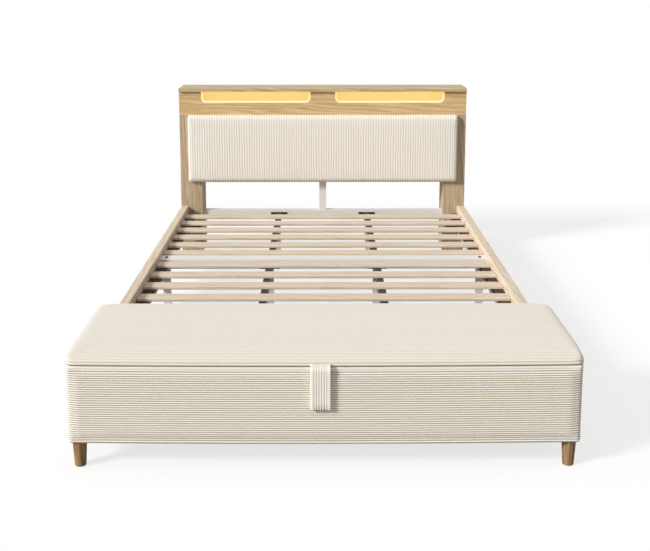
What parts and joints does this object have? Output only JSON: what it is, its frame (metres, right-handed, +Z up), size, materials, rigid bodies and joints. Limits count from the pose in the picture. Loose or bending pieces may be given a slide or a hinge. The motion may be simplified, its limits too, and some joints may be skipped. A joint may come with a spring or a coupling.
{
  "type": "double bed",
  "caption": "Double bed with a lit wooden headboard and corduroy pad, slatted wooden frame on steel supports, and an upholstered storage bench with a hinged lid at its foot.",
  "frame": {"origin": "middle of the bed on the floor", "axes": "+Z up, +Y towards the headboard, +X to the right seen from the foot"},
  "size_m": [1.46, 2.6224, 0.853],
  "materials": {
    "oak": "light oak, satin, straight grain",
    "pale_wood": "pale wood, matt",
    "foot_wood": "turned oak, satin",
    "panel_board": "plywood panel, matt",
    "white_steel": "white powder coat",
    "dark_steel": "dark brown powder coat",
    "hinge_steel": "zinc plated",
    "corduroy": "ivory corduroy with raised ribs",
    "light_lens": "frosted, lit warm from within",
    "niche_glow": "matt white board in warm light",
    "led_tape": "flexible LED tape",
    "black_plastic": "moulded, matt"
  },
  "bodies": {
    "frame": {"headboard_cap": "oak", "headboard_fascia": "oak", "left_leg_front_board": "oak", "left_leg_outer_board": "oak", "left_leg_inner_board": "oak", "right_leg_front_board": "oak", "right_leg_outer_board": "oak", "right_leg_inner_board": "oak", "left_side_rail": "pale_wood", "right_side_rail": "pale_wood", "left_slat_ledger": "pale_wood", "right_slat_ledger": "pale_wood", "slat_01": "pale_wood", "slat_02": "pale_wood", "slat_03": "pale_wood", "slat_04": "pale_wood", "slat_05": "pale_wood", "slat_06": "pale_wood", "slat_07": "pale_wood", "slat_08": "pale_wood", "slat_09": "pale_wood", "slat_10": "pale_wood", "slat_11": "pale_wood", "slat_12": "pale_wood", "bench_feet": "foot_wood", "headboard_core_panel": "panel_board", "headboard_back_panel": "panel_board", "headboard_bottom_board": "panel_board", "niche_floor": "panel_board", "niche_dividers": "panel_board", "headboard_pad_board": "panel_board", "bench_bottom_board": "panel_board", "bench_front_board": "panel_board", "bench_back_board": "panel_board", "left_bench_end_board": "panel_board", "right_bench_end_board": "panel_board", "head_rail": "white_steel", "mid_bar": "white_steel", "foot_rail": "white_steel", "headboard_centre_post": "white_steel", "support_legs": "white_steel", "left_beam": "dark_steel", "right_beam": "dark_steel", "rail_brackets": "dark_steel", "frame_bolts": "dark_steel", "hinge_box_leaves": "hinge_steel", "hinge_pins": "hinge_steel", "headboard_pad": "corduroy", "bench_cover": "corduroy", "left_light_lens": "light_lens", "right_light_lens": "light_lens", "niche_back": "niche_glow", "led_tapes": "led_tape", "led_driver": "black_plastic", "power_inlet": "black_plastic", "floor_glides": "black_plastic"},
    "lid": {"lid_board": "panel_board", "lid_pad": "corduroy", "hinge_lid_leaves": "hinge_steel"},
    "strap": {"lid_strap": "corduroy"}
  },
  "joints": [
    {"name": "lid_hinge", "type": "hinge", "parent": "frame", "child": "lid", "pos_m": [0, -0.80725, 0.31], "axis": [-1, 0, 0], "range_deg": [0, 85]},
    {"name": "strap_swing", "type": "hinge", "parent": "lid", "child": "strap", "pos_m": [-0.011, -1.29925, 0.319], "axis": [-1, 0, 0], "range_deg": [0, 80]}
  ]
}
